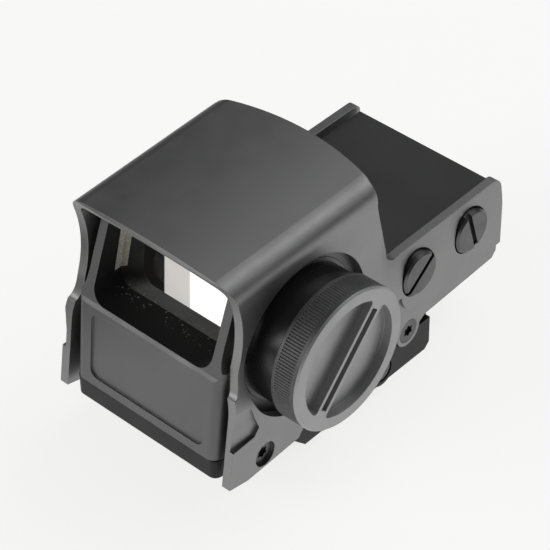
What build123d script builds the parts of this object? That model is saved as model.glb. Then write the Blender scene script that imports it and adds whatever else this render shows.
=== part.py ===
from build123d import *
import os
from math import cos, pi, radians, sin, tan

# ---------------------------------------------------------------------------
# Compact hooded reflex sight for a dovetail rail, in millimetres.
#
# Layout frame: x across, with the battery cap on +x; y back from the front
# edge, so the target is towards -y and the eye is behind +y; z up from the
# lower edge of the side plates. Every piece is saved shifted, so that the
# origin is the middle of the seat that rests on the rail's top.
# ---------------------------------------------------------------------------

# Overall size of the hood
LENGTH = 96.4          # front edge to the end of the deck
WALL_HALF = 23.9       # half width over the upper walls, at the front edge
WALL_HALF_REAR = 22.1  # the same, along the deck
CHEEK_HALF = 26.1      # half width over the lower cheeks, at the front edge
CHEEK_HALF_REAR = 23.3 # the same, at the deck's end
WALL_SPREAD = 0.008    # half width that the hood's walls gain per millimetre
BLEND_FRONT = 49.0     # the hood's walls narrow to the deck's between these two
BLEND_REAR = 61.0
ROOF = 52.1            # roof height where the crown meets the walls, at the front
ROOF_RISE = 0.02       # height that the roof gains per millimetre towards the rear
CROWN = 1.2            # rise of the roof's middle above its edges
SHOULDER_R = 5.2
PLATE = 2.3            # thickness of the side plates
ROOF_WALL = 2.0
FLARE_LOW = 18.0       # the walls flare out to the cheeks between these heights
FLARE_HIGH = 30.0

# Hood outline seen from the side
FRONT_TIP = 4.7        # how far back the roof starts
HOOD_REAR = 53.2       # rear edge of the roof, on the centre line
WALL_REAR = 50.2       # rear edge of the hood's walls, at the top
BROW_REAR = 47.8       # where the roof's rear arc ends, outside the walls
RAIL_TOP = 26.4        # top of the low rails either side of the deck
DECK_TOP = 24.6
DECK_BOTTOM = 2.7
BAND_TOP = 7.3         # the plates are stepped in below this, beside the deck
BAND_DEPTH = 1.1

# Rail clamp: the rail is the common 21.2 mm dovetail
RAIL_WIDTH = 21.2
RAIL_CLEAR = 0.15
SEAT_Y = 47.5          # middle of the seat, from the front edge
SEAT_Z = -2.2          # the seat, below the plates' lower edge
CLAMP_FRONT = 23.0
CLAMP_REAR = 72.0
CLAMP_BOTTOM = -9.6
CLAMP_HALF = 22.4
BASE_TOP = 4.55
CHANNEL_HALF = RAIL_WIDTH / 2 + RAIL_CLEAR
SEAT_HALF = CHANNEL_HALF - 0.6
SEAT_RELIEF = 0.3      # the underside is this much higher round the seat
LIP_DEPTH = 2.9        # the channel is widest this far below the seat
LIP_REACH = 2.2        # how far each jaw's lip hooks under the rail
JAW_TRAVEL = 3.0       # how far the jaw opens
BOLT_Z = -3.2
BOLT_R = 2.0           # M4 cross bolts
BOLT_HEAD_R = 3.0
BOLT_END = -24.4
JAW_BOSS_R = 3.9       # tapped bosses on the movable jaw
JAW_BOSS_END = -14.2
BOLTS_Y = (34.0, 53.0)
KEY_Y = 43.5           # a key on the movable jaw slides in the base here

# Battery compartment, on the axis (CAP_Y, CAP_Z) along x
CAP_Y = 26.8
CAP_Z = 26.4
CAP_R = 17.3
CAP_FACE = 36.6
CAP_BACK = 29.6
COLLAR_R = 16.3
COLLAR_BORE_R = 14.2
SCALLOP_R = 19.3
SLOT_ANGLE = 47.6      # coin slot, up from the +y direction
FACE_RECESS = 2.2
BAR_WIDTH = 4.0        # bar left between the two recesses in the cap's face
CELL_R = 12.25         # CR2450 cell
CELL_THICK = 5.0
PAD_FACE = 22.0        # flat pad on the housing that the collar stands on

# Windage (front) and elevation (rear) adjusters, on axes along x
WINDAGE_Y = 65.0
ELEVATION_Y = 84.2
ADJUSTER_Z = 18.7
ADJUSTER_R = 5.6
ADJUSTER_GAP = 0.3
SCREW_R = 2.0          # M4 x 0.5 lead screws
NUT_FIT = 0.05
WEDGE_SLOPE = 0.25
WEDGE_MID = 14.75      # height of the wedge's sloping underside at x = 0
NECK_R = 3.0

# Housing and optics
HOUSING_BOTTOM = 4.7
HOUSING_TOP = 49.6
TRAY_TOP = 22.8        # walls of the rear tray, under the deck cover
TUNNEL_HALF = 19.3
TUNNEL_FLOOR = 26.9
TUNNEL_TOP = 48.0
TUNNEL_REAR = 49.9
WINDOW_HALF = 17.6     # half width of the opening ahead of the reflector
LENS_TILT = 15.0
LENS_FOOT = 11.9       # where the lens's front face meets the tunnel floor
LENS_THICK = 3.0
BAY_HALF = 16.5
BAY_FLOOR = 6.2
EMITTER_Y = 34.1
EMITTER_Z = 25.0

# Side screws through the plates: (y, z)
SIDE_SCREWS = ((11.8, 2.2), (63.2, 1.6))
SIDE_HEAD_R = 3.1

BASE_SCREWS = ((18.0, 18.0), (18.0, 43.5))

# Rear cover and buttons
GASKET_FRONT = 93.3
COVER_FRONT = 93.6
COVER_REAR = 96.1
COVER_SCREWS = ((18.1, 8.0), (18.1, 19.6))
BUTTON_X = 7.5
BUTTON_Z = 13.8
BUTTON_R = 3.6

TO_ORIGIN = Location((0, -SEAT_Y, -SEAT_Z))


# ---------------------------------------------------------------------------
# Shapes used by many pieces
# ---------------------------------------------------------------------------

def wall_at(y):
    """Half width over the upper walls at station y."""
    share = min(max((y - BLEND_FRONT) / (BLEND_REAR - BLEND_FRONT), 0), 1)
    share = share * share * (3 - 2 * share)
    return (WALL_HALF + WALL_SPREAD * y) * (1 - share) + WALL_HALF_REAR * share


def cheek_at(y):
    """Half width over the lower cheeks at station y."""
    return CHEEK_HALF + (CHEEK_HALF_REAR - CHEEK_HALF) * y / LENGTH


def block(x0, x1, y0, y1, z0, z1):
    solid = Box(x1 - x0, y1 - y0, z1 - z0, align=(Align.MIN, Align.MIN, Align.MIN))
    return Pos(x0, y0, z0) * solid


def rod_x(y, z, radius, x0, x1):
    return Pos((x0 + x1) / 2, y, z) * Rot(0, 90, 0) * Cylinder(radius, x1 - x0)


def rod_y(x, z, radius, y0, y1):
    return Pos(x, (y0 + y1) / 2, z) * Rot(90, 0, 0) * Cylinder(radius, y1 - y0)


def rod_z(x, y, radius, z0, z1):
    return Pos(x, y, (z0 + z1) / 2) * Cylinder(radius, z1 - z0)


def both_sides(solid):
    return solid + mirror(solid, about=Plane.YZ)


def side_prism(points, x0, x1):
    """A prism along x over a polygon of (y, z) points."""
    face = make_face(Polyline(*points, close=True))
    return extrude(Plane.YZ.offset(x0) * face, x1 - x0)


def front_prism(points, y0, y1):
    """A prism along y over a polygon of (x, z) points."""
    face = make_face(Polyline(*points, close=True))
    return Pos(0, y1, 0) * extrude(Plane.XZ * face, y1 - y0)


def tapered_block(front, rear, y0, y1, z0, z1):
    """A block whose half width goes from front at y0 to rear at y1."""
    plan = Polyline((-front, y0), (front, y0), (rear, y1), (-rear, y1), close=True)
    return Pos(0, 0, z0) * extrude(make_face(plan), z1 - z0)


def rounded_bar_y(x_half, z0, z1, y0, y1, radius):
    """A bar along y with a rounded rectangular section."""
    face = RectangleRounded(2 * x_half, z1 - z0, radius)
    return Pos(0, y1, (z0 + z1) / 2) * extrude(Plane.XZ * face, y1 - y0)


def socket_screw(head_r, head_depth, shank_r, length, recess_r):
    """Countersunk screw, head face at the origin, shank down -z, six-lobe recess."""
    head = Pos(0, 0, -head_depth / 2) * Cone(shank_r, head_r, head_depth)
    shank = Pos(0, 0, -length / 2) * Cylinder(shank_r, length)
    screw = head + shank
    for lobe in range(6):
        turn = Rot(0, 0, 60 * lobe) * Pos(recess_r * 0.7, 0, -head_depth * 0.4)
        screw -= turn * Cylinder(recess_r * 0.3, head_depth * 0.9)
    return screw - Pos(0, 0, -head_depth * 0.4) * Cylinder(recess_r * 0.72, head_depth * 0.9)


def facing_x(solid, x, y, z):
    """Place a piece drawn about +z so that its top faces +x at (x, y, z)."""
    return Pos(x, y, z) * Rot(0, 90, 0) * solid


def coil(x, y, z0, z1, radius, wire_r, turns):
    """Compression spring standing on z0, with closed volume between z0 and z1."""
    height = z1 - z0 - 2 * wire_r
    path = Helix(height / turns, height, radius)
    section = Plane(origin=path @ 0, z_dir=path % 0) * Circle(wire_r)
    return Pos(x, y, z0 + wire_r) * sweep(section, path)


# ---------------------------------------------------------------------------
# Hood: one shell of roof, side plates and deck rails
# ---------------------------------------------------------------------------

def hood_section(y, inset, roof_inset, bottom):
    """Section of the hood across x, at station y."""
    wall = wall_at(y) - inset
    cheek = cheek_at(y) - inset
    eave = ROOF + ROOF_RISE * max(y, 0) - roof_inset
    right = Curve() + [
        Line((cheek, bottom), (cheek, FLARE_LOW)),
        Spline((cheek, FLARE_LOW), (wall, FLARE_HIGH), tangents=[(0, 1), (0, 1)]),
        Line((wall, FLARE_HIGH), (wall, eave)),
    ]
    left = mirror(right, about=Plane.YZ)
    crown = ThreePointArc((wall, eave), (0, eave + CROWN), (-wall, eave))
    sill = Line((-cheek, bottom), (cheek, bottom))
    face = make_face(right + left + crown + sill)
    corners = face.vertices().filter_by(lambda v: v.Y > eave - 0.1)
    face = fillet(corners, SHOULDER_R - inset)
    return Plane(origin=(0, y, 0), x_dir=(1, 0, 0), z_dir=(0, -1, 0)) * face


def hood_sleeve(inset, roof_inset, bottom):
    """The hood's section run from before the front edge to past the deck's end."""
    step = (BLEND_REAR - BLEND_FRONT) / 4
    stations = [-3.0] + [BLEND_FRONT + step * k for k in range(5)] + [LENGTH + 3.0]
    sections = [hood_section(y, inset, roof_inset, bottom) for y in stations]
    return loft(sections, ruled=True)


def hood_outline():
    """The hood seen from the side, in (y, z)."""
    above = ROOF + 12
    foot_y, foot_z = SIDE_SCREWS[1]
    foot_r = 4.1
    cheek_top = (3.5, 23.2)
    step_top = (5.9, 29.6)
    fillet_r = 5.2
    edge_foot = (54.2, RAIL_TOP + fillet_r)
    end_r = 2.4
    sole = -1.4
    curve = Curve() + [
        Line((0, 0), cheek_top),
        Spline(cheek_top, step_top, tangents=[(0.9, 0.45), (0.25, 1)]),
        ThreePointArc(step_top, (7.6, 39.0), (FRONT_TIP, ROOF)),
        Line((FRONT_TIP, ROOF), (FRONT_TIP, above)),
        Line((FRONT_TIP, above), (WALL_REAR, above)),
        Line((WALL_REAR, above), (WALL_REAR, 47.0)),
        ThreePointArc((WALL_REAR, 47.0), (51.9, 39.8), edge_foot),
        RadiusArc(edge_foot, (edge_foot[0] + fillet_r, RAIL_TOP), -fillet_r),
        Line((edge_foot[0] + fillet_r, RAIL_TOP), (LENGTH - end_r, RAIL_TOP)),
        RadiusArc((LENGTH - end_r, RAIL_TOP), (LENGTH, RAIL_TOP - end_r), end_r),
        Line((LENGTH, RAIL_TOP - end_r), (LENGTH, DECK_BOTTOM + 1.5)),
        Line((LENGTH, DECK_BOTTOM + 1.5), (LENGTH - 1.5, DECK_BOTTOM)),
        Line((LENGTH - 1.5, DECK_BOTTOM), (foot_y + foot_r + 2.0, DECK_BOTTOM)),
        Line((foot_y + foot_r + 2.0, DECK_BOTTOM), (foot_y + foot_r, foot_z)),
        ThreePointArc((foot_y + foot_r, foot_z), (foot_y, foot_z - foot_r), (foot_y - foot_r, foot_z)),
        Line((foot_y - foot_r, foot_z), (foot_y - foot_r - 1.0, 2.0)),
        Line((foot_y - foot_r - 1.0, 2.0), (CLAMP_FRONT + 3.0, 2.0)),
        Line((CLAMP_FRONT + 3.0, 2.0), (CLAMP_FRONT, sole)),
        Line((CLAMP_FRONT, sole), (6.0, sole)),
        Line((6.0, sole), (0, 0)),
    ]
    return extrude(Plane.YZ * make_face(curve), CHEEK_HALF + 5, both=True)


def roof_brow():
    """The roof's rear edge bows back past the walls."""
    half = CHEEK_HALF + 3
    low = 44.0
    plan = Curve() + [
        ThreePointArc((-half, BROW_REAR), (0, HOOD_REAR), (half, BROW_REAR)),
        Line((half, BROW_REAR), (half, 40)),
        Line((half, 40), (-half, 40)),
        Line((-half, 40), (-half, BROW_REAR)),
    ]
    return Pos(0, 0, low) * extrude(make_face(plan), ROOF + 12 - low)


def cheek_pocket():
    """Shallow sculpted pocket low on the front of a side plate, on +x."""
    floor_x = CHEEK_HALF - 1.05
    outline = [(-2, 10), (8.4, 10), (10.0, 11.8), (8.4, 16.2), (6.9, 22.4), (-2, 25)]
    fade = front_prism([(floor_x - 1, 14.5), (floor_x, 14.5), (floor_x + 1.6, 26), (floor_x - 1, 26)], -3, 12)
    return side_prism(outline, floor_x, CHEEK_HALF + 3) - fade


def foot_recess():
    """Stepped recess round the rear side screw and along the deck's lower edge, on +x."""
    low = -6
    front = 40
    rear = LENGTH + 4
    knee = (59.0, 15.2)
    heel = (66.5, BAND_TOP)
    curve = Curve() + [
        Line((front, low), (front, knee[1])),
        Line((front, knee[1]), knee),
        ThreePointArc(knee, (61.6, 9.8), heel),
        Line(heel, (rear, BAND_TOP)),
        Line((rear, BAND_TOP), (rear, low)),
        Line((rear, low), (front, low)),
    ]
    surface = tapered_block(cheek_at(front) - BAND_DEPTH, cheek_at(rear) - BAND_DEPTH, front, rear, low, 20)
    outside = extrude(Plane.YZ.offset(15) * make_face(curve), 20)
    return outside - surface


def make_hood():
    hood = hood_sleeve(0, 0, -6) - hood_sleeve(PLATE, ROOF_WALL, -8)
    hood = hood & (hood_outline() + roof_brow())
    hood -= both_sides(cheek_pocket())
    hood -= both_sides(foot_recess())
    hood -= rod_x(CAP_Y, CAP_Z, SCALLOP_R, 15, 45)
    for y in (WINDAGE_Y, ELEVATION_Y):
        hood -= rod_x(y, ADJUSTER_Z, ADJUSTER_R + ADJUSTER_GAP, 15, 40)
    for screw in place_side_screws(clearance=0.05):
        hood -= screw
    return hood


def place_side_screws(clearance=0.0):
    """The four side screws, or the slightly larger holes that they need."""
    screws = []
    depths = (0.95, 1.15)
    for (y, z), depth in zip(SIDE_SCREWS, depths):
        face = cheek_at(y) - depth
        head = SIDE_HEAD_R + clearance
        if clearance:
            shank = Pos(0, 0, -4) * Cylinder(1.5 + clearance, 8)
            sink = Pos(0, 0, -0.5) * Cone(head - 1.0, head, 1.0)
            solid = shank + sink + Pos(0, 0, 3) * Cylinder(head, 6)
        else:
            solid = socket_screw(head, 1.0, 1.5, 8.0, 1.5)
        right = facing_x(solid, face, y, z)
        screws.append(right)
        screws.append(mirror(right, about=Plane.YZ))
    return screws


# ---------------------------------------------------------------------------
# Housing, covers and optics
# ---------------------------------------------------------------------------

def leaning_plane_y(z):
    """Where the reflector's front face stands at height z."""
    return LENS_FOOT + (z - TUNNEL_FLOOR) * tan(radians(LENS_TILT))


def leaning_slab(offset, thickness):
    """An upright slab parallel to the reflector, offset behind its front face."""
    low, high = TUNNEL_FLOOR - 5, TUNNEL_TOP + 5
    shift = offset / cos(radians(LENS_TILT))
    depth = thickness / cos(radians(LENS_TILT))
    front_low = leaning_plane_y(low) + shift
    front_high = leaning_plane_y(high) + shift
    points = [(front_low, low), (front_low + depth, low), (front_high + depth, high), (front_high, high)]
    return side_prism(points, -25, 25)


def tunnel(inset, y0, y1):
    """The rounded section of the optical tunnel, run from y0 to y1."""
    return rounded_bar_y(TUNNEL_HALF - inset, TUNNEL_FLOOR + inset, TUNNEL_TOP - inset, y0, y1, 4.0 - inset)


def front_face_cutter():
    """What lies in front of the leaning front panel and window frame."""
    points = [(-10, 0), (0.5, 0), (0.5, HOUSING_BOTTOM), (2.8, 26.0), (3.5, TUNNEL_FLOOR),
              (12.2, HOUSING_TOP), (12.2, 60), (-10, 60)]
    return side_prism(points, -40, 40)


def post_cutter():
    """Trims the outside of the window posts, on +x, so that they stand clear of the hood."""
    post, shoulder, high, low = 19.9, 22.6, 37.0, 27.4
    curve = Curve() + [
        Line((post, 60), (post, high)),
        Spline((post, high), (shoulder, low), tangents=[(0, -1), (1, -0.3)]),
        Line((shoulder, low), (30, low)),
        Line((30, low), (30, 60)),
        Line((30, 60), (post, 60)),
    ]
    return Pos(0, 13, 0) * extrude(Plane.XZ * make_face(curve), 16)


def panel_recess():
    """Shallow rounded rectangle in the front panel."""
    lean = (2.8 - 0.5) / (26.0 - HOUSING_BOTTOM)
    middle = 15.8
    face_y = 0.5 + lean * (middle - HOUSING_BOTTOM)
    plane = Plane(origin=(0.4, face_y, middle), x_dir=(1, 0, 0), z_dir=(0, -1, lean))
    sketch = plane * RectangleRounded(34.4, 17.8, 2.4)
    return extrude(sketch, 0.45, both=True)


def make_inner_housing():
    """Body that carries the optics in a tunnel above, and the works in a bay below."""
    gap = PLATE + 0.1
    front_half = wall_at(-1) - gap
    rear_half = wall_at(TUNNEL_REAR) - gap
    tray_half = WALL_HALF_REAR - gap
    upper = tapered_block(front_half, rear_half, -1, TUNNEL_REAR, HOUSING_BOTTOM, HOUSING_TOP)
    top_edges = upper.edges().filter_by(lambda e: e.center().Z > HOUSING_TOP - 0.1 and e.length > 50)
    upper = fillet(top_edges, 5.0)
    tray = tapered_block(tray_half, tray_half, TUNNEL_REAR - 1, GASKET_FRONT, HOUSING_BOTTOM, TRAY_TOP)
    pad = rod_x(CAP_Y, CAP_Z, COLLAR_R + 0.9, 19.8, PAD_FACE)
    body = upper + tray + pad - front_face_cutter()
    upright = body.edges().filter_by(lambda e: e.center().Y < 3 and e.center().Z < 24 and e.length > 15)
    body = fillet(upright.filter_by(lambda e: abs(e.center().X) > 20), 2.6)
    body -= both_sides(post_cutter())
    body -= tunnel(0, 5, TUNNEL_REAR + 1) - leaning_slab(-30.15, 30)
    body -= rounded_bar_y(WINDOW_HALF, TUNNEL_FLOOR, TUNNEL_TOP + 6, -2, 18, 3.8)
    body -= tunnel(-0.5, TUNNEL_REAR - 2.3, TUNNEL_REAR + 1)
    body -= panel_recess()
    body -= block(-BAY_HALF, BAY_HALF, 30, GASKET_FRONT + 1, BAY_FLOOR, TRAY_TOP)
    body -= block(-BAY_HALF, BAY_HALF, 57.6, GASKET_FRONT + 1, BAY_FLOOR, TRAY_TOP + 3)
    body -= block(-6.5, 6.5, 27.5, 41, BAY_FLOOR + 3, TUNNEL_FLOOR + 2)
    body -= block(13.2, 15.6, 27.0, 31, 18.0, 21.6)
    body -= rod_x(28.8, 20.0, 1.1, 15, 25)
    for y in (WINDAGE_Y, ELEVATION_Y):
        body -= rod_x(y, ADJUSTER_Z, NECK_R + NUT_FIT, BAY_HALF - 1, 30)
    for x, y in BASE_SCREWS:
        body -= both_sides(rod_z(x, y, 1.27, HOUSING_BOTTOM - 1, HOUSING_BOTTOM + 5))
    for x, z in COVER_SCREWS:
        body -= both_sides(rod_y(x, z, 1.02, GASKET_FRONT - 6, GASKET_FRONT + 1))
    for y, z in collar_screw_places():
        body -= rod_x(y, z, 1.02, 19.9, 24)
    for y, z in BOARD_SCREWS:
        body -= rod_x(y, z, 0.82, -18.6, -16)
    return body


def make_deck_cover():
    """Flat lid between the deck's rails, with ribs below that guide the adjusters' nuts."""
    half = WALL_HALF_REAR - PLATE - 0.1
    cover = tapered_block(half, half, TUNNEL_REAR + 0.1, COVER_REAR, TRAY_TOP + 0.02, DECK_TOP)
    for y, x0, x1 in ((WINDAGE_Y, -4, 12), (ELEVATION_Y, -9, 9)):
        for rib_y in (y - 4.6, y + 3.6):
            cover += block(x0, x1, rib_y, rib_y + 1.0, 19.4, TRAY_TOP + 0.1)
    return chamfer(cover.edges().filter_by(Axis.X).group_by(Axis.Z)[-1][-1], 0.5)


def make_reflector_lens():
    """Coated reflector, leaning back so that it sends the emitter's light to the eye."""
    return leaning_slab(0, LENS_THICK) & tunnel(0.1, 0, 40)


def make_lens_retainer():
    """Frame behind the reflector that holds it against the window frame."""
    ring = leaning_slab(LENS_THICK + 0.05, 1.4) & tunnel(0.1, 0, 40)
    return ring - tunnel(1.5, 0, 40)


def make_lens_bond():
    """Bead of pale sealant on the window's side walls, just ahead of the reflector."""
    width, thick, low, high = 1.9, 0.3, 30.8, 46.0
    outline = [(leaning_plane_y(z) - back, z) for z, back in
               ((low, width), (low, 0.05), (high, 0.05), (high, width))]
    left = side_prism(outline, -WINDOW_HALF + 0.02, -WINDOW_HALF + thick)
    return [left, mirror(left, about=Plane.YZ)]


def make_rear_window():
    return tunnel(-0.4, TUNNEL_REAR - 2.2, TUNNEL_REAR - 0.7)


def make_rear_window_gasket():
    return tunnel(-0.4, TUNNEL_REAR - 0.65, TUNNEL_REAR - 0.1) - tunnel(1.0, 45, 55)


# ---------------------------------------------------------------------------
# Base and rail clamp
# ---------------------------------------------------------------------------

def base_screw_hole(x, y):
    return rod_z(x, y, 1.4, CLAMP_BOTTOM - 2, 10) + rod_z(x, y, 2.9, CLAMP_BOTTOM - 2, 1.6)


def clamp_bevel():
    """What the sloping front of the clamp leaves away."""
    points = [(CLAMP_FRONT - 1, -4.0), (CLAMP_FRONT, -4.0), (CLAMP_FRONT + 6.5, CLAMP_BOTTOM - 1),
              (CLAMP_FRONT - 1, CLAMP_BOTTOM - 1)]
    return side_prism(points, -30, 30)


def hood_foot_pocket(travel=0.0):
    """Room for the lobe of a side plate round its rear screw, on +x."""
    y, z = SIDE_SCREWS[1]
    return rod_x(y, z, 4.3, cheek_at(y + 4.3) - PLATE - 0.08 - travel, 30)


def make_base_plate():
    """Base between the side plates, with the fixed half of the rail clamp below."""
    base = tapered_block(wall_at(0) - PLATE - 0.1, CLAMP_HALF - 1.2, 0.6, CLAMP_REAR, -0.5, BASE_TOP)
    base = fillet(base.edges().filter_by(Axis.Z).group_by(Axis.Y)[0], 2.0)
    clamp = block(-CLAMP_HALF, CLAMP_HALF, CLAMP_FRONT, CLAMP_REAR, CLAMP_BOTTOM, -0.4)
    clamp = chamfer(clamp.edges().filter_by(Axis.X).group_by(Axis.Z)[0][-1], 1.5)
    base += clamp - clamp_bevel()
    for y, z in SIDE_SCREWS:
        base += both_sides(rod_x(y, z, 3.3, 19, cheek_at(y + 3.3) - PLATE - 0.05))
    base -= block(-30, 30, -2, LENGTH, BASE_TOP, BASE_TOP + 5)
    base -= both_sides(hood_foot_pocket())
    for y in BOLTS_Y:
        base += rod_x(y, BOLT_Z, 4.1, CLAMP_HALF - 2, CLAMP_HALF + 1.9)
    widest = SEAT_Z - LIP_DEPTH
    neck = CHANNEL_HALF - LIP_REACH
    low = CLAMP_BOTTOM - 2
    relief = SEAT_Z + SEAT_RELIEF
    channel = [(-30, relief), (-SEAT_HALF, relief), (-SEAT_HALF, SEAT_Z), (SEAT_HALF, SEAT_Z),
               (SEAT_HALF, relief), (CHANNEL_HALF, relief), (CHANNEL_HALF, widest),
               (neck, widest - LIP_REACH), (neck, low), (-30, low)]
    base -= front_prism(channel, CLAMP_FRONT - 2, CLAMP_REAR + 2)
    base -= block(-30, -11, KEY_Y - 1.6, KEY_Y + 1.6, SEAT_Z - 0.1, SEAT_Z + 1.5)
    for y in BOLTS_Y:
        base -= rod_x(y, BOLT_Z, BOLT_R + 0.06, -30, 30)
        base -= block(-CHANNEL_HALF, CHANNEL_HALF, y - BOLT_R - 0.4, y + BOLT_R + 0.4, SEAT_Z - 1, relief)
        base -= rod_x(y, BOLT_Z, JAW_BOSS_R + 0.35, -30, JAW_BOSS_END + 0.4)
        base -= rod_x(y, BOLT_Z, BOLT_HEAD_R + 0.06, CLAMP_HALF - 1.2, CLAMP_HALF + 3)
    for y, z in SIDE_SCREWS:
        base -= both_sides(rod_x(y, z, 1.52, 14.7, 28))
    for x, y in BASE_SCREWS:
        base -= both_sides(base_screw_hole(x, y))
    return base


def make_movable_jaw():
    """Jaw on the far side, which the cross bolts draw in under the rail."""
    widest = SEAT_Z - LIP_DEPTH
    neck = CHANNEL_HALF - LIP_REACH
    top = SEAT_Z - 0.1
    section = [(-CLAMP_HALF, top), (-CHANNEL_HALF, top), (-CHANNEL_HALF, widest), (-neck, widest - LIP_REACH),
               (-neck, CLAMP_BOTTOM), (1.5 - CLAMP_HALF, CLAMP_BOTTOM), (-CLAMP_HALF, CLAMP_BOTTOM + 1.5)]
    jaw = front_prism(section, CLAMP_FRONT + 1.6, CLAMP_REAR - 1.6) - clamp_bevel()
    jaw += block(-CLAMP_HALF, -12, KEY_Y - 1.5, KEY_Y + 1.5, top - 0.5, SEAT_Z + 1.2)
    for y in BOLTS_Y:
        jaw += rod_x(y, BOLT_Z, JAW_BOSS_R, -CLAMP_HALF, JAW_BOSS_END)
        jaw -= rod_x(y, BOLT_Z, BOLT_R + 0.06, -30, 0)
    return jaw - mirror(hood_foot_pocket(JAW_TRAVEL + 0.1), about=Plane.YZ)


def make_clamp_bolt(y):
    """Cross bolt, its socket head in the boss on +x."""
    head_face = CLAMP_HALF + 1.7
    head = rod_x(y, BOLT_Z, BOLT_HEAD_R, CLAMP_HALF - 1.1, head_face)
    head = chamfer(head.edges().group_by(Axis.X)[-1], 0.3)
    socket = RegularPolygon(1.5, 6, major_radius=False)
    bolt = head + rod_x(y, BOLT_Z, BOLT_R, BOLT_END, CLAMP_HALF)
    return bolt - Pos(head_face - 2.0, y, BOLT_Z) * Rot(0, 90, 0) * extrude(socket, 3)


def make_base_screws():
    screws = []
    for x, y in BASE_SCREWS:
        head = rod_z(x, y, 2.75, -0.6, 1.58)
        shank = rod_z(x, y, 1.25, 1.0, HOUSING_BOTTOM + 4.6)
        drive = Pos(x, y, -0.7) * extrude(RegularPolygon(1.2, 6, major_radius=False), 1.4)
        screw = head + shank - drive
        screws += [screw, mirror(screw, about=Plane.YZ)]
    return screws


# ---------------------------------------------------------------------------
# Battery compartment
# ---------------------------------------------------------------------------

COLLAR_FLOOR = 23.6
COLLAR_END = 29.45
PLUG_END = 25.0
POCKET_END = 32.6


def collar_screw_places():
    """(y, z) of the three screws in the collar's floor."""
    return [(CAP_Y + 10 * cos(radians(a)), CAP_Z + 10 * sin(radians(a))) for a in (90, 210, 330)]


def make_battery_collar():
    collar = rod_x(CAP_Y, CAP_Z, COLLAR_R, PAD_FACE + 0.05, COLLAR_END)
    collar -= rod_x(CAP_Y, CAP_Z, COLLAR_BORE_R, COLLAR_FLOOR, COLLAR_END + 1)
    collar -= rod_x(28.8, 20.0, 1.1, 20, 25)
    for y, z in collar_screw_places():
        collar -= rod_x(y, z, 1.05, 20, 25)
        collar -= rod_x(y, z, 1.9, COLLAR_FLOOR - 0.9, COLLAR_FLOOR + 1)
    return collar


def make_collar_screws():
    screws = []
    for y, z in collar_screw_places():
        head = rod_x(y, z, 1.85, COLLAR_FLOOR - 0.88, COLLAR_FLOOR - 0.05)
        shank = rod_x(y, z, 1.0, 20.0, COLLAR_FLOOR - 0.5)
        slot = Pos(COLLAR_FLOOR, y, z) * Box(0.8, 0.5, 4)
        screws.append(head + shank - slot)
    return screws


def knurled_band(x0, x1, teeth=150, depth=0.26):
    """Straight-knurled ring of the cap's rim."""
    points = []
    for k in range(teeth):
        for share, radius in ((0.0, CAP_R), (0.45, CAP_R), (0.62, CAP_R - depth), (0.83, CAP_R - depth)):
            turn = 2 * pi * (k + share) / teeth
            points.append((radius * cos(turn), radius * sin(turn)))
    face = make_face(Polyline(*points, close=True))
    return Pos(x0, CAP_Y, CAP_Z) * Rot(0, 90, 0) * extrude(face, x1 - x0)


def make_battery_cap():
    """Cap with a knurled rim, a threaded plug, and a coin slot in a bar across its face."""
    band_start, band_end = CAP_BACK + 1.0, CAP_FACE - 1.5
    back = rod_x(CAP_Y, CAP_Z, CAP_R, CAP_BACK, band_start)
    back = chamfer(back.edges().group_by(Axis.X)[0], 0.35)
    front = rod_x(CAP_Y, CAP_Z, CAP_R, band_end, CAP_FACE)
    front = chamfer(front.edges().group_by(Axis.X)[-1], 0.45)
    cap = back + knurled_band(band_start, band_end) + front
    cap += rod_x(CAP_Y, CAP_Z, COLLAR_BORE_R - 0.07, PLUG_END, CAP_BACK + 0.5)
    cap -= rod_x(CAP_Y, CAP_Z, CELL_R + 0.65, PLUG_END - 1, POCKET_END)
    groove = rod_x(CAP_Y, CAP_Z, COLLAR_R, 28.0, 29.1) - rod_x(CAP_Y, CAP_Z, 13.3, 27, 30)
    cap -= groove
    recesses = Circle(14.0) - Rectangle(40, BAR_WIDTH)
    recesses = fillet(recesses.vertices(), 0.9)
    slot = Rectangle(24.5, 2.0)
    face_plane = Location((CAP_FACE - FACE_RECESS, CAP_Y, CAP_Z)) * Plane.YZ.location
    cap -= face_plane * Rot(0, 0, SLOT_ANGLE) * extrude(recesses, FACE_RECESS + 1)
    cap -= face_plane * Rot(0, 0, SLOT_ANGLE) * extrude(slot, FACE_RECESS + 1)
    return cap


def make_cap_o_ring():
    return Pos(28.55, CAP_Y, CAP_Z) * Rot(0, 90, 0) * Torus(13.74, 0.42)


def make_coin_cell():
    """Cell with its smaller terminal face towards the cap."""
    start = COLLAR_FLOOR + 0.45
    cell = rod_x(CAP_Y, CAP_Z, CELL_R, start, start + CELL_THICK - 0.5)
    cell = chamfer(cell.edges().group_by(Axis.X)[0], 0.4)
    return cell + rod_x(CAP_Y, CAP_Z, CELL_R - 1.6, start + CELL_THICK - 0.6, start + CELL_THICK)


def make_cell_insulator():
    ring = rod_x(CAP_Y, CAP_Z, COLLAR_BORE_R - 0.1, COLLAR_FLOOR + 0.02, PLUG_END - 0.1)
    return ring - rod_x(CAP_Y, CAP_Z, CELL_R + 0.1, 20, 30)


def make_battery_contact():
    """Contact disc on the collar's floor, with a pin into the housing."""
    disc = rod_x(CAP_Y, CAP_Z, 7.6, COLLAR_FLOOR + 0.02, COLLAR_FLOOR + 0.42)
    return disc + rod_x(28.8, 20.0, 0.8, 15.0, COLLAR_FLOOR + 0.2)


def make_battery_strip():
    """Bent strip that takes the current from the pin to the circuit board."""
    strip = block(14.0, 14.9, 27.6, 31.2, 19.0, 21.0)
    strip += block(14.0, 14.9, 30.6, 31.2, 7.2, 21.0)
    strip += block(-15.2, 14.9, 30.6, 31.2, 7.2, 8.4)
    return strip + block(-15.2, -14.6, 30.6, 34.0, 7.2, 8.4)


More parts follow.
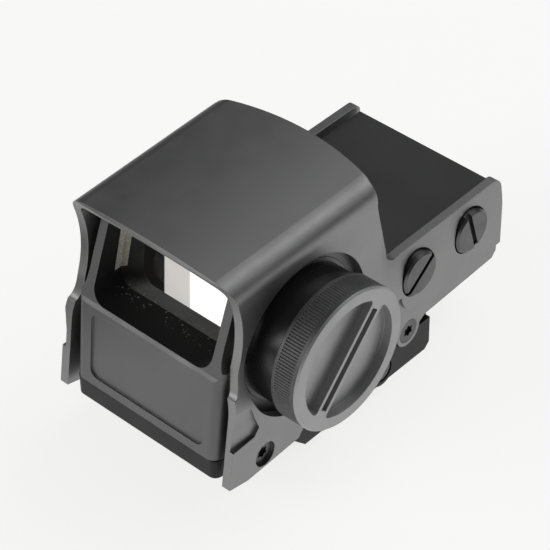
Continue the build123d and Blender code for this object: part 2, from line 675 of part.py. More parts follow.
def make_cap_contact_plate():
    return rod_x(CAP_Y, CAP_Z, 11.5, 32.1, POCKET_END - 0.05)


def make_cap_spring():
    """Contact spring between the cell and the cap's contact plate."""
    start = COLLAR_FLOOR + 0.45 + CELL_THICK + 0.05
    return Pos(0, CAP_Y, CAP_Z) * Rot(0, 90, 0) * coil(0, 0, start, 32.08, 8.5, 0.4, 2)


# ---------------------------------------------------------------------------
# Adjusters and the emitter's stages
# ---------------------------------------------------------------------------

def make_adjuster_screw(y, tip, slot_angle):
    """Slotted adjuster with a sealed neck and a lead screw that ends at x = tip."""
    face = cheek_at(y) + 0.8
    head = rod_x(y, ADJUSTER_Z, ADJUSTER_R, 21.9, face)
    head = chamfer(head.edges().group_by(Axis.X)[-1], 0.5)
    screw = head + rod_x(y, ADJUSTER_Z, NECK_R, 15.2, 22.0)
    screw += rod_x(y, ADJUSTER_Z, SCREW_R, tip, 15.3)
    for x0, x1, radius in ((15.55, 16.35, 2.4), (17.6, 18.7, 2.15)):
        collar = rod_x(y, ADJUSTER_Z, NECK_R + 1, x0, x1)
        screw -= collar - rod_x(y, ADJUSTER_Z, radius, x0 - 1, x1 + 1)
    slot = Rot(slot_angle, 0, 0) * Box(2.6, 14, 1.3)
    return screw - Pos(face, y, ADJUSTER_Z) * slot


def make_retaining_clip(y):
    clip = rod_x(y, ADJUSTER_Z, 3.95, 15.6, 16.3) - rod_x(y, ADJUSTER_Z, 2.42, 15, 17)
    return clip - Pos(16, y, ADJUSTER_Z - 4) * Box(2, 3.6, 6)


def make_adjuster_o_ring(y):
    return Pos(18.15, y, ADJUSTER_Z) * Rot(0, 90, 0) * Torus(2.6, 0.42)


def wedge_underside(x, gap=0.0):
    return WEDGE_MID + WEDGE_SLOPE * x - gap


def make_elevation_wedge():
    """Nut whose sloping underside presses the elevation stage down."""
    half = 5.5
    section = [(-half, wedge_underside(-half)), (half, wedge_underside(half)), (half, 21.9), (-half, 21.9)]
    wedge = front_prism(section, ELEVATION_Y - 3.5, ELEVATION_Y + 3.5)
    return wedge - rod_x(ELEVATION_Y, ADJUSTER_Z, SCREW_R + NUT_FIT, -10, 10)


def make_windage_tappet():
    """Nut whose blind end pushes the windage stage's post."""
    nut = block(0.75, 8.5, WINDAGE_Y - 3.5, WINDAGE_Y + 3.5, 14.4, 21.9)
    return nut - rod_x(WINDAGE_Y, ADJUSTER_Z, SCREW_R + NUT_FIT, 2.0, 10)


STAGE_LOW = 8.6
STAGE_HIGH = 10.5
STAGE_RIBS_Y = (46.5, 68.0)
STAGE_PINS = ((6.5, 52.0), (6.5, 76.5))


def make_elevation_stage():
    """Plate that rises on four pins, with cross ribs for the windage stage."""
    stage = block(-9, 9, 44, 88.0, STAGE_LOW, STAGE_HIGH)
    for y in STAGE_RIBS_Y:
        stage += block(-9, 9, y, y + 1.5, STAGE_HIGH - 0.1, STAGE_HIGH + 1.1)
    half = 4.5
    pad = [(-half, 10), (half, 10), (half, wedge_underside(half, 0.1)), (-half, wedge_underside(-half, 0.1))]
    stage += front_prism(pad, ELEVATION_Y - 3.3, ELEVATION_Y + 3.3)
    for x, y in STAGE_PINS:
        stage -= both_sides(rod_z(x, y, 1.05, 5, 15))
    return stage


def make_stage_pins():
    pins = []
    for x, y in STAGE_PINS:
        pin = rod_z(x, y, 1.0, BAY_FLOOR, STAGE_HIGH - 0.7)
        pins += [pin, mirror(pin, about=Plane.YZ)]
    return pins


def make_stage_springs():
    """Springs round the pins that hold the stage up against the wedge."""
    springs = []
    for x, y in STAGE_PINS:
        for side in (-1, 1):
            springs.append(coil(side * x, y, BAY_FLOOR + 0.02, STAGE_LOW - 0.02, 1.9, 0.25, 2.5))
    return springs


def emitter_axis():
    """Location at the emitter with +z along its beam, up to the reflector's middle."""
    beam = (0, -cos(radians(2 * LENS_TILT)), sin(radians(2 * LENS_TILT)))
    return Plane(origin=(0, EMITTER_Y, EMITTER_Z), x_dir=(1, 0, 0), z_dir=beam).location


def make_windage_stage():
    """Cross slide on the elevation stage, with the emitter's arm and the tappet's post."""
    low = STAGE_HIGH + 0.1
    stage = block(-8, 8, 42.5, 72, low, low + 2.4)
    stage += block(-4, 4, 29, 43, low, low + 3.4)
    stage += block(-3.6, 3.6, 32.5, 39.5, low, EMITTER_Z - 1.0)
    stage += block(-5.0, 0.6, WINDAGE_Y - 3.4, WINDAGE_Y + 3.4, low, 21.6)
    for y in STAGE_RIBS_Y:
        stage -= block(-10, 10, y - 0.1, y + 1.6, low - 1, low + 1.1)
    stage -= emitter_axis() * Pos(0, 0, 5.0) * Box(12, 12, 10)
    return stage - emitter_axis() * Pos(0, 0, 0) * Cylinder(2.42, 5)


def make_led_emitter():
    """Emitter capsule, its window towards the reflector."""
    capsule = Pos(0, 0, 0.1) * Cylinder(2.4, 5)
    rim = Pos(0, 0, 2.4) * Cylinder(0.9, 1.2)
    return emitter_axis() * (capsule - rim)


def make_return_leaf():
    """Leaf spring on the bay's floor that takes up the play behind the post."""
    thick = 0.35
    path = [(-13.0, BAY_FLOOR), (-9.6, BAY_FLOOR), (-9.2, 16.0), (-5.85, 19.4), (-6.5, 20.4)]
    outer = [(x, z) for x, z in path]
    inner = [(x - thick, z + thick * 0.4) for x, z in reversed(path[1:])]
    section = outer + inner + [(-13.0, BAY_FLOOR + thick)]
    return front_prism(section, WINDAGE_Y - 2.5, WINDAGE_Y + 2.5)


# ---------------------------------------------------------------------------
# Boards, rear cover and buttons
# ---------------------------------------------------------------------------

BOARD_SCREWS = ((37.0, 18.5), (81.0, 18.5))


def make_circuit_board():
    board = block(-16.4, -15.4, 32.5, 86.0, 7.0, 21.6)
    for y, z in BOARD_SCREWS:
        board -= rod_x(y, z, 0.9, -18, -14)
    return board


def make_board_components():
    """Chips and capacitors, each as (y, z, length, height, thickness)."""
    outlines = [(58.0, 13.5, 7.0, 7.0, 1.0), (46.5, 12.0, 4.5, 4.0, 1.6), (72.5, 15.5, 3.2, 4.6, 1.2),
                (50.5, 18.2, 2.0, 1.2, 0.8), (66.0, 9.5, 2.0, 1.2, 0.8), (78.0, 10.5, 5.5, 2.6, 2.0)]
    chips = []
    for y, z, length, height, thick in outlines:
        low, high = z - height / 2, z + height / 2
        chips.append(block(-15.4, thick - 15.4, y - length / 2, y + length / 2, low, high))
    return chips


def make_board_screws():
    screws = []
    for y, z in BOARD_SCREWS:
        head = rod_x(y, z, 1.5, -15.4, -14.5) - Pos(-14.5, y, z) * Box(0.8, 0.4, 4)
        screws.append(head + rod_x(y, z, 0.8, -18.4, -15.3))
    return screws


def make_button_board():
    return block(-16.3, 16.3, 88.8, 89.8, 6.4, 22.4)


def make_tact_switches():
    switches = []
    for side in (-1, 1):
        x = side * BUTTON_X
        body = block(x - 3, x + 3, 89.8, 91.2, BUTTON_Z - 3, BUTTON_Z + 3)
        switches.append(body + rod_y(x, BUTTON_Z, 1.5, 91.1, 91.8))
    return switches


def make_button(side):
    """Rubber button with a flange behind the cover and a dished face."""
    x = side * BUTTON_X
    button = rod_y(x, BUTTON_Z, BUTTON_R, 92.6, COVER_REAR + 1.1)
    button = chamfer(button.edges().group_by(Axis.Y)[-1], 0.5)
    button += rod_y(x, BUTTON_Z, BUTTON_R + 0.9, 92.5, COVER_FRONT - 0.1)
    return button - Pos(x, COVER_REAR + 1.1 + 11.2, BUTTON_Z) * Sphere(11.5)


def make_rear_cover():
    half = WALL_HALF_REAR - PLATE - 0.1
    cover = tapered_block(half, half, COVER_FRONT, COVER_REAR, HOUSING_BOTTOM, TRAY_TOP)
    cover = chamfer(cover.edges().group_by(Axis.Y)[-1].filter_by(Axis.X)[0], 0.6)
    for side in (-1, 1):
        cover -= rod_y(side * BUTTON_X, BUTTON_Z, BUTTON_R + 0.1, 90, 100)
    for x, z in COVER_SCREWS:
        cover -= both_sides(rod_y(x, z, 1.1, 90, 100))
        cover -= both_sides(rod_y(x, z, 1.65, COVER_REAR - 1.1, 100))
    return cover


def make_rear_gasket():
    half = WALL_HALF_REAR - PLATE - 0.1
    front, rear = GASKET_FRONT + 0.02, COVER_FRONT - 0.02
    gasket = tapered_block(half, half, front, rear, HOUSING_BOTTOM, TRAY_TOP - 0.1)
    gasket -= block(-BAY_HALF, BAY_HALF, 90, 97, BAY_FLOOR, TRAY_TOP - 1.2)
    for x, z in COVER_SCREWS:
        gasket -= both_sides(rod_y(x, z, 1.1, 90, 97))
    return gasket


def make_rear_cover_screws():
    screws = []
    for x, z in COVER_SCREWS:
        head = rod_y(x, z, 1.6, COVER_REAR - 1.08, COVER_REAR - 0.1)
        shank = rod_y(x, z, 1.0, GASKET_FRONT - 5.5, COVER_REAR - 0.9)
        drive = Pos(x, COVER_REAR - 0.1, z) * Rot(90, 0, 0) * Cylinder(0.75, 1.2)
        screw = head + shank - drive
        screws += [screw, mirror(screw, about=Plane.YZ)]
    return screws


# ---------------------------------------------------------------------------
# Every node, and the file that each is saved in
# ---------------------------------------------------------------------------

def all_nodes():
    return {
        "hood": make_hood(),
        "inner_housing": make_inner_housing(),
        "base_plate": make_base_plate(),
        "deck_cover": make_deck_cover(),
        "rear_cover": make_rear_cover(),
        "rear_gasket": make_rear_gasket(),
        "side_screws": place_side_screws(),
        "base_screws": make_base_screws(),
        "rear_cover_screws": make_rear_cover_screws(),
        "reflector_lens": make_reflector_lens(),
        "lens_retainer": make_lens_retainer(),
        "lens_bond": make_lens_bond(),
        "rear_window": make_rear_window(),
        "rear_window_gasket": make_rear_window_gasket(),
        "battery_collar": make_battery_collar(),
        "collar_screws": make_collar_screws(),
        "battery_cap": make_battery_cap(),
        "cap_o_ring": make_cap_o_ring(),
        "cap_contact_plate": make_cap_contact_plate(),
        "cap_spring": make_cap_spring(),
        "coin_cell": make_coin_cell(),
        "cell_insulator": make_cell_insulator(),
        "battery_contact": make_battery_contact(),
        "battery_strip": make_battery_strip(),
        "circuit_board": make_circuit_board(),
        "board_components": make_board_components(),
        "board_screws": make_board_screws(),
        "button_board": make_button_board(),
        "tact_switches": make_tact_switches(),
        "up_button": make_button(-1),
        "down_button": make_button(1),
        "windage_screw": make_adjuster_screw(WINDAGE_Y, 3.0, 38.5),
        "windage_clip": make_retaining_clip(WINDAGE_Y),
        "windage_o_ring": make_adjuster_o_ring(WINDAGE_Y),
        "windage_tappet": make_windage_tappet(),
        "windage_stage": make_windage_stage(),
        "led_emitter": make_led_emitter(),
        "return_leaf": make_return_leaf(),
        "elevation_screw": make_adjuster_screw(ELEVATION_Y, -4.0, -73.8),
        "elevation_clip": make_retaining_clip(ELEVATION_Y),
        "elevation_o_ring": make_adjuster_o_ring(ELEVATION_Y),
        "elevation_wedge": make_elevation_wedge(),
        "elevation_stage": make_elevation_stage(),
        "stage_pins": make_stage_pins(),
        "stage_springs": make_stage_springs(),
        "movable_jaw": make_movable_jaw(),
        "clamp_bolt_front": make_clamp_bolt(BOLTS_Y[0]),
        "clamp_bolt_rear": make_clamp_bolt(BOLTS_Y[1]),
    }


def save(node, shape):
    """Write one node, moved so that the origin is the middle of the rail seat."""
    solids = shape if isinstance(shape, list) else shape.solids()
    moved = [TO_ORIGIN * solid for solid in solids]
    whole = moved[0] if len(moved) == 1 else Compound(children=moved)
    export_step(whole, "parts/" + node + ".step")


os.makedirs("parts", exist_ok=True)
for node_name, node_shape in all_nodes().items():
    save(node_name, node_shape)
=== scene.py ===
import math

import bpy
from mathutils import Matrix, Vector


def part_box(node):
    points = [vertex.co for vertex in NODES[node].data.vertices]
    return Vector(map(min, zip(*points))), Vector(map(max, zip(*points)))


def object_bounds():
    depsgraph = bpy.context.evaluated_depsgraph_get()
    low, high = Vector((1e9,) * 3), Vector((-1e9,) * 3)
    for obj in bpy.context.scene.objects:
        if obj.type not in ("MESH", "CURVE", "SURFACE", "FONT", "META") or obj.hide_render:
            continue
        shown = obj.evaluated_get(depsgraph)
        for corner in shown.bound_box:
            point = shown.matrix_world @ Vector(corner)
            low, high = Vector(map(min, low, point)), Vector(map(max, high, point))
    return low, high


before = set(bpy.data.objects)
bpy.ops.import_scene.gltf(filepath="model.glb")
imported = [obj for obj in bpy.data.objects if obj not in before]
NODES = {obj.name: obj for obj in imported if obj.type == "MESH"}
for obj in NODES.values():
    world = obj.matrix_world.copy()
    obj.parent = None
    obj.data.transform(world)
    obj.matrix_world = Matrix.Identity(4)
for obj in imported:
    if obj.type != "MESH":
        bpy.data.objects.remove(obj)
CAD_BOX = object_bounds()
MM = 0.001
EDGE_SCUFF = (0.20, 0.20, 0.195)
DUST = (0.55, 0.54, 0.52)
GLUE = (0.30, 0.29, 0.27)
WINDOW_HALF = 19.6 * MM      # faces further from the middle than this are outside the window
TUNNEL_MARGIN = 1.0 * MM     # allowance above and below the rear window's own height
RIM_DEPTH = 1.0 * MM         # radial depth of the cap's knurling
FLOOR_HALF = 550 * MM
FLOOR_GLOW = 0.80
WORLD_GLOW = 0.115


# ---------------------------------------------------------------------------
# Materials
# ---------------------------------------------------------------------------

class Graph:
    """Builds one material's nodes."""

    def __init__(self, name):
        self.material = bpy.data.materials.new(name)
        self.material.use_nodes = True
        self.nodes = self.material.node_tree.nodes
        self.links = self.material.node_tree.links
        self.shader = self.nodes["Principled BSDF"]
        self.output = self.nodes["Material Output"]
        self.coords = self.nodes.new("ShaderNodeTexCoord").outputs["Object"]

    def add(self, kind, **settings):
        node = self.nodes.new(kind)
        for key, value in settings.items():
            setattr(node, key, value)
        return node

    def join(self, source, target):
        self.links.new(source, target)

    def noise(self, scale, detail=3.0, rough=0.55, coords=None):
        node = self.add("ShaderNodeTexNoise")
        node.inputs["Scale"].default_value = scale
        node.inputs["Detail"].default_value = detail
        node.inputs["Roughness"].default_value = rough
        self.join(coords or self.coords, node.inputs["Vector"])
        return node.outputs["Fac"]

    def remap(self, value, low, high, new_low, new_high):
        node = self.add("ShaderNodeMapRange")
        for index, number in enumerate((low, high, new_low, new_high)):
            node.inputs[index + 1].default_value = number
        self.join(value, node.inputs[0])
        return node.outputs[0]

    def maths(self, operation, a, b=0.0):
        node = self.add("ShaderNodeMath", operation=operation)
        for socket, value in zip(node.inputs, (a, b)):
            if isinstance(value, (int, float)):
                socket.default_value = value
            else:
                self.join(value, socket)
        return node.outputs[0]

    def mix(self, factor, first, second):
        node = self.add("ShaderNodeMix", data_type="RGBA")
        self.join(factor, node.inputs["Factor"])
        for socket, value in ((node.inputs[6], first), (node.inputs[7], second)):
            if isinstance(value, tuple):
                socket.default_value = (*value, 1.0)
            else:
                self.join(value, socket)
        return node.outputs[2]

    def axis(self, index):
        node = self.add("ShaderNodeSeparateXYZ")
        self.join(self.coords, node.inputs[0])
        return node.outputs[index]

    def bump(self, height, strength, distance, normal=None):
        node = self.add("ShaderNodeBump")
        node.inputs["Strength"].default_value = strength
        node.inputs["Distance"].default_value = distance
        self.join(height, node.inputs["Height"])
        if normal is not None:
            self.join(normal, node.inputs["Normal"])
        return node.outputs["Normal"]

    def rounded(self, radius):
        node = self.add("ShaderNodeBevel", samples=6)
        node.inputs["Radius"].default_value = radius
        return node.outputs["Normal"]

    def edges(self, radius, reach):
        """1 along sharp edges, 0 elsewhere."""
        geometry = self.add("ShaderNodeNewGeometry")
        dot = self.add("ShaderNodeVectorMath", operation="DOT_PRODUCT")
        self.join(self.rounded(radius), dot.inputs[0])
        self.join(geometry.outputs["Normal"], dot.inputs[1])
        return self.remap(dot.outputs["Value"], 1.0 - reach, 1.0, 1.0, 0.0)

    def specks(self, scale, size, share):
        """Sparse round specks, such as dust; scale is cells per metre."""
        node = self.add("ShaderNodeTexVoronoi")
        node.inputs["Scale"].default_value = scale
        self.join(self.coords, node.inputs["Vector"])
        dot = self.maths("LESS_THAN", node.outputs["Distance"], size)
        chosen = self.add("ShaderNodeSeparateColor")
        self.join(node.outputs["Color"], chosen.inputs[0])
        return self.maths("MULTIPLY", dot, self.maths("LESS_THAN", chosen.outputs[0], share))

    def set(self, **values):
        for key, value in values.items():
            socket = self.shader.inputs[key.replace("_", " ")]
            socket.default_value = (*value, 1.0) if isinstance(value, tuple) else value


def anodised(name, colour, rough=0.34, gloss=1.8, grain=0.25, dust=0.02, wear=0.30, edge=0.25, marks=None):
    """Bead-blasted, black-anodised aluminium with faint mottling, handled edges and dust."""
    g = Graph(name)
    light = tuple(min(c * 1.25, 1.0) for c in colour)
    dark = tuple(c * 0.82 for c in colour)
    mottle = g.remap(g.noise(60, 4), 0.3, 0.7, 0.0, 1.0)
    base = g.mix(mottle, dark, light)
    scuffs = g.maths("MULTIPLY", g.edges(edge * MM, 0.10), g.remap(g.noise(420, 4), 0.35, 0.7, 0.0, wear))
    base = g.mix(scuffs, base, EDGE_SCUFF)
    base = g.mix(g.specks(170, 0.035, dust), base, DUST)
    if marks:
        base = g.mix(marks(g), base, GLUE)
    g.join(base, g.shader.inputs["Base Color"])
    g.join(g.remap(g.noise(120, 5), 0.3, 0.7, rough - 0.04, rough + 0.05), g.shader.inputs["Roughness"])
    grit = g.bump(g.noise(5200, 2, 0.7), grain, 0.02 * MM, g.rounded(edge * MM))
    g.join(grit, g.shader.inputs["Normal"])
    g.set(IOR=gloss, Specular_IOR_Level=0.8)
    return g.material


def turned(name, colour, centre, rough=0.30, gloss=2.0, pitch=0.12, dust=0.03):
    """Anodised metal with fine lathe lines round an axis along x."""
    g = Graph(name)
    y = g.maths("SUBTRACT", g.axis(1), centre[1])
    z = g.maths("SUBTRACT", g.axis(2), centre[2])
    radius = g.maths("SQRT", g.maths("ADD", g.maths("MULTIPLY", y, y), g.maths("MULTIPLY", z, z)))
    lines = g.maths("SINE", g.maths("MULTIPLY", radius, 2 * math.pi / (pitch * MM)))
    wobble = g.maths("ADD", lines, g.noise(900, 3))
    light = tuple(c * 1.25 for c in colour)
    base = g.mix(g.remap(g.noise(90, 4), 0.3, 0.7, 0.0, 1.0), colour, light)
    base = g.mix(g.maths("MULTIPLY", g.edges(0.22 * MM, 0.10), 0.30), base, (0.25, 0.25, 0.245))
    base = g.mix(g.specks(260, 0.045, dust), base, (0.40, 0.39, 0.37))
    g.join(base, g.shader.inputs["Base Color"])
    g.join(g.remap(g.noise(200, 4), 0.3, 0.7, rough - 0.04, rough + 0.06), g.shader.inputs["Roughness"])
    g.join(g.bump(wobble, 0.16, 0.01 * MM, g.rounded(0.22 * MM)), g.shader.inputs["Normal"])
    g.set(IOR=gloss, Specular_IOR_Level=0.7)
    return g.material


def metal(name, colour, rough=0.3, brush=0.15):
    """Bare or oxidised metal with faint tool marks."""
    g = Graph(name)
    darker = tuple(c * 0.75 for c in colour)
    g.join(g.mix(g.remap(g.noise(300, 4), 0.3, 0.7, 0.0, 1.0), darker, colour), g.shader.inputs["Base Color"])
    g.join(g.remap(g.noise(700, 3), 0.3, 0.7, rough - 0.06, rough + 0.08), g.shader.inputs["Roughness"])
    g.join(g.bump(g.noise(2600, 2), brush, 0.01 * MM, g.rounded(0.12 * MM)), g.shader.inputs["Normal"])
    g.set(Metallic=1.0)
    return g.material


def plain(name, colour, rough, grain=2400, strength=0.2):
    """Moulded plastic, rubber or solder mask with a fine grain."""
    g = Graph(name)
    darker = tuple(c * 0.8 for c in colour)
    g.join(g.mix(g.remap(g.noise(220, 4), 0.3, 0.7, 0.0, 1.0), darker, colour), g.shader.inputs["Base Color"])
    g.join(g.remap(g.noise(500, 3), 0.3, 0.7, rough - 0.05, rough + 0.07), g.shader.inputs["Roughness"])
    g.join(g.bump(g.noise(grain, 3), strength, 0.02 * MM, g.rounded(0.15 * MM)), g.shader.inputs["Normal"])
    return g.material


def coated_glass(name, tint, mirror):
    """Pane with a partly mirrored coating and faint smears."""
    g = Graph(name)
    g.set(Base_Color=tint, Roughness=0.02, IOR=1.5, Transmission_Weight=1.0)
    coat = g.add("ShaderNodeBsdfGlossy")
    coat.inputs["Roughness"].default_value = 0.015
    coat.inputs["Color"].default_value = (1.0, 0.985, 0.96, 1.0)
    blend = g.add("ShaderNodeMixShader")
    g.join(g.remap(g.noise(110, 5), 0.42, 0.75, mirror, mirror - 0.08), blend.inputs[0])
    g.join(g.shader.outputs[0], blend.inputs[1])
    g.join(coat.outputs[0], blend.inputs[2])
    g.join(blend.outputs[0], g.output.inputs["Surface"])
    return g.material


def sealant(name):
    """Pale, grainy bead with darker specks."""
    g = Graph(name)
    base = g.mix(g.remap(g.noise(1600, 5), 0.3, 0.7, 0.0, 1.0), (0.42, 0.39, 0.32), (0.78, 0.75, 0.66))
    base = g.mix(g.specks(1900, 0.22, 0.35), base, (0.16, 0.14, 0.11))
    g.join(base, g.shader.inputs["Base Color"])
    g.join(g.bump(g.noise(2400, 4), 0.5, 0.03 * MM), g.shader.inputs["Normal"])
    g.join(g.remap(g.noise(700, 3), 0.3, 0.7, 0.62, 0.78), g.shader.inputs["Roughness"])
    return g.material


def glue_marks(g):
    """Dried adhesive and dust along the reflector's foot, on the window's sill."""
    reach = 3.4 * MM
    depth = g.maths("ABSOLUTE", g.maths("SUBTRACT", g.axis(1), lens_low[1] - 0.6 * MM))
    height = g.maths("ABSOLUTE", g.maths("SUBTRACT", g.axis(2), lens_low[2]))
    near = g.maths("MULTIPLY", g.remap(depth, 0.0, reach, 1.0, 0.0), g.maths("LESS_THAN", height, 0.8 * MM))
    flecks = g.specks(1500, 0.30, 0.30)
    strokes = g.remap(g.noise(1300, 6, 0.8), 0.60, 0.72, 0.0, 0.6)
    return g.maths("MULTIPLY", near, g.maths("MAXIMUM", flecks, strokes))


# ---------------------------------------------------------------------------
# Geometry helpers
# ---------------------------------------------------------------------------

def link(obj):
    bpy.context.scene.collection.objects.link(obj)
    return obj


def paint(obj, material, second=None, chosen=None):
    """Gives a piece its material, and a second one to the faces that are chosen."""
    obj.data.materials.clear()
    obj.data.materials.append(material)
    if second:
        obj.data.materials.append(second)
    for polygon in obj.data.polygons:
        polygon.material_index = 1 if second and chosen(polygon) else 0


# ---------------------------------------------------------------------------
# Looks of each node
# ---------------------------------------------------------------------------

cap_low, cap_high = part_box("battery_cap")
cap_centre = (cap_low + cap_high) / 2
lens_low, lens_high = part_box("reflector_lens")
tunnel_low, tunnel_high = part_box("rear_window")

hood_black = anodised("hood_black", (0.024, 0.024, 0.024), rough=0.42, gloss=2.3, dust=0.03)
deck_black = anodised("deck_black", (0.046, 0.046, 0.046), rough=0.48, gloss=1.4, dust=0.01)
housing_black = anodised("housing_black", (0.028, 0.028, 0.029), rough=0.44, gloss=1.72, dust=0.01)
clamp_black = anodised("clamp_black", (0.008, 0.008, 0.009), rough=0.48, gloss=1.28, dust=0.01)
# Window and tunnel lining: a matt finish, darker than the housing as painted shade in the recess, with real
# glue marks
matt_painted_shade_black = anodised("matt_painted_shade_black", (0.010, 0.010, 0.010), rough=0.70, gloss=1.25, dust=0.02, wear=0.1,
                      marks=glue_marks)
# Cap face a light grey over the black of its knurled rim: painted sheen of the lit face
cap_black = turned("cap_black", (0.125, 0.125, 0.126), cap_centre, rough=0.42, gloss=2.6)
knurl_black = turned("knurl_black", (0.020, 0.020, 0.021), cap_centre, rough=0.50, gloss=1.7, pitch=0.3)
collar_black = turned("collar_black", (0.016, 0.016, 0.017), cap_centre, rough=0.28, gloss=1.35, pitch=0.2)
screw_black = metal("screw_black", (0.13, 0.13, 0.13), rough=0.34)
steel = metal("steel", (0.62, 0.62, 0.63), rough=0.25)
brass = metal("brass", (0.72, 0.53, 0.24), rough=0.28)
stage_alloy = metal("stage_alloy", (0.56, 0.57, 0.58), rough=0.38, brush=0.25)
rubber = plain("rubber", (0.018, 0.018, 0.018), 0.62, grain=3000, strength=0.35)
board = plain("board", (0.02, 0.12, 0.05), 0.28, strength=0.1)
chip = plain("chip", (0.025, 0.025, 0.026), 0.5)
insulator = plain("insulator", (0.50, 0.46, 0.38), 0.5)
emitter = plain("emitter", (0.40, 0.02, 0.02), 0.18, strength=0.05)
bond = sealant("bond")
lens = coated_glass("lens", (0.82, 0.84, 0.82), 0.90)
window = coated_glass("window", (0.90, 0.93, 0.92), 0.12)

LOOKS = {
    "hood": hood_black, "inner_housing": housing_black, "base_plate": clamp_black,
    "deck_cover": deck_black, "rear_cover": housing_black, "rear_gasket": rubber,
    "side_screws": screw_black, "base_screws": screw_black, "rear_cover_screws": screw_black,
    "reflector_lens": lens, "lens_retainer": housing_black, "lens_bond": bond, "rear_window": window,
    "rear_window_gasket": rubber, "battery_collar": collar_black, "collar_screws": screw_black,
    "battery_cap": cap_black, "cap_o_ring": rubber, "cap_contact_plate": steel, "cap_spring": steel,
    "coin_cell": steel, "cell_insulator": insulator, "battery_contact": brass, "battery_strip": brass,
    "circuit_board": board, "board_components": chip, "board_screws": steel, "button_board": board,
    "tact_switches": chip, "up_button": rubber, "down_button": rubber, "windage_screw": screw_black,
    "windage_clip": steel, "windage_o_ring": rubber, "windage_tappet": brass,
    "windage_stage": stage_alloy, "led_emitter": emitter, "return_leaf": steel,
    "elevation_screw": screw_black, "elevation_clip": steel, "elevation_o_ring": rubber,
    "elevation_wedge": brass, "elevation_stage": stage_alloy, "stage_pins": steel, "stage_springs": steel,
    "movable_jaw": clamp_black, "clamp_bolt_front": screw_black, "clamp_bolt_rear": screw_black,
}


def inside_window(polygon):
    """True for the housing's faces that look into the window and the tunnel, which take a darker black as
    painted shade.
    """
    centre, normal = polygon.center, polygon.normal
    if abs(centre.x) > WINDOW_HALF or abs(normal.y) > 0.6:
        return False
    if not tunnel_low[2] - TUNNEL_MARGIN < centre.z < tunnel_high[2] + TUNNEL_MARGIN:
        return False
    middle = (tunnel_low[2] + tunnel_high[2]) / 2
    return centre.x * normal.x + (centre.z - middle) * normal.z < 0


def on_rim(polygon):
    """True for the cap's knurled rim."""
    centre, normal = polygon.center, polygon.normal
    radius = math.hypot(centre.y - cap_centre.y, centre.z - cap_centre.z)
    return abs(normal.x) < 0.5 and radius > (cap_high.z - cap_low.z) / 2 - RIM_DEPTH


# Node: its second material, and the faces that take it; the window's inner faces take a darker black as
# painted shade
SECOND_LOOKS = {"inner_housing": (matt_painted_shade_black, inside_window), "battery_cap": (knurl_black, on_rim)}
for name, look in LOOKS.items():
    paint(NODES[name], look, *SECOND_LOOKS.get(name, ()))


# ---------------------------------------------------------------------------
# Floor, light and camera
# ---------------------------------------------------------------------------

def flat_card(name, corners, material, height):
    """A flat sheet lying at one height, for the stage only."""
    mesh = bpy.data.meshes.new(name)
    mesh.from_pydata([(x, y, height) for x, y in corners], [], [tuple(range(len(corners)))])
    sheet = link(bpy.data.objects.new(name, mesh))
    paint(sheet, material)
    return sheet


def make_floor():
    half = FLOOR_HALF
    g = Graph("floor_white")
    g.set(Base_Color=(0.30, 0.30, 0.298), Roughness=0.75, Specular_IOR_Level=0.2,
          Emission_Color=(1.0, 1.0, 0.995), Emission_Strength=FLOOR_GLOW)
    corners = [(-half, -half), (half, -half), (half, half), (-half, half)]
    flat_card("floor", corners, g.material, CAD_BOX[0][2])


def reflected_card(name, near_side, far_side, grey):
    """A sheet on the floor with its own glow, which only mirror reflections show: a painted reflection in the
    reflector.

    Each side is a pair of (x, y) in millimetres."""
    g = Graph(name)
    g.set(Base_Color=(0.0, 0.0, 0.0), Specular_IOR_Level=0.0, Emission_Color=(grey, grey * 0.98, grey * 0.95),
          Emission_Strength=1.0)
    corners = [(x * MM, y * MM) for x, y in (*near_side, *reversed(far_side))]
    sheet = flat_card(name, corners, g.material, CAD_BOX[0][2] + 0.5 * MM)
    for kind in ("camera", "diffuse", "shadow", "transmission", "volume_scatter"):
        setattr(sheet, "visible_" + kind, False)


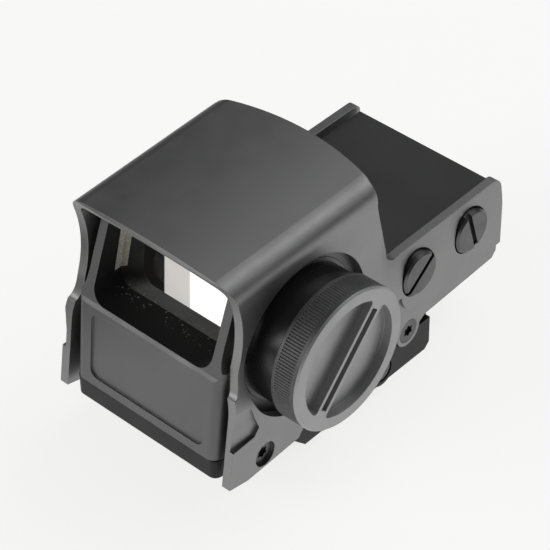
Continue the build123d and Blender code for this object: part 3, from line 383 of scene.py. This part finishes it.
def make_cards():
    # Painted reflection in the reflector: a dark sheet, a dim one and a bright one
    dark_edge = ((-135, -205), (-36, -91))
    dim_edge = ((-134, -216), (-34, -99))
    reflected_card("card_dark", ((-190, -165), (-80, -52)), dark_edge, 0.008)
    reflected_card("card_dim", dark_edge, dim_edge, 0.66)
    reflected_card("card_white", dim_edge, ((-100, -250), (0, -133)), 1.25)


def softbox(name, place, target, size, power):
    data = bpy.data.lights.new(name, "AREA")
    data.shape = "RECTANGLE"
    data.size, data.size_y = size
    data.energy = power
    lamp = link(bpy.data.objects.new(name, data))
    lamp.location = place
    lamp.rotation_euler = (Vector(target) - Vector(place)).to_track_quat("-Z", "Y").to_euler()


def light():
    world = bpy.data.worlds.new("studio")
    bpy.context.scene.world = world
    world.use_nodes = True
    background = world.node_tree.nodes["Background"]
    background.inputs["Color"].default_value = (0.97, 0.98, 1.0, 1.0)
    background.inputs["Strength"].default_value = WORLD_GLOW
    middle = (0, 0, 0.03)
    softbox("rear_top", (0.02, 0.60, 0.80), middle, (0.90, 0.90), 2.3)
    softbox("side", (0.50, 0.60, 0.75), middle, (0.80, 0.80), 1.5)
    softbox("front", (-0.35, -0.75, 0.40), middle, (0.60, 0.40), 2.5)


def camera():
    azimuth, elevation, roll = math.radians(42.824), math.radians(41.242), math.radians(0.874)
    across, upward, distance = -0.9 * MM, -5.913 * MM, 552.9 * MM
    focal_pixels, frame_pixels, sensor = 2470.7, 550, 36.0
    aim = Vector((0, -2.5 * MM, 27.2 * MM))
    back = Vector((math.sin(azimuth) * math.cos(elevation), -math.cos(azimuth) * math.cos(elevation),
                   math.sin(elevation)))
    level = Vector((math.cos(azimuth), math.sin(azimuth), 0))
    above = back.cross(level)
    right = math.cos(roll) * level - math.sin(roll) * above
    up = math.sin(roll) * level + math.cos(roll) * above
    data = bpy.data.cameras.new("camera")
    data.sensor_width = sensor
    data.lens = sensor * focal_pixels / frame_pixels
    data.clip_start = 0.01
    eye = link(bpy.data.objects.new("camera", data))
    place = aim + right * across + up * upward + back * distance
    turn = Matrix((right, up, back)).transposed()
    eye.matrix_world = Matrix.Translation(place) @ turn.to_4x4()
    bpy.context.scene.camera = eye


make_floor()
make_cards()
light()
camera()
bpy.context.scene.view_settings.view_transform = "Standard"
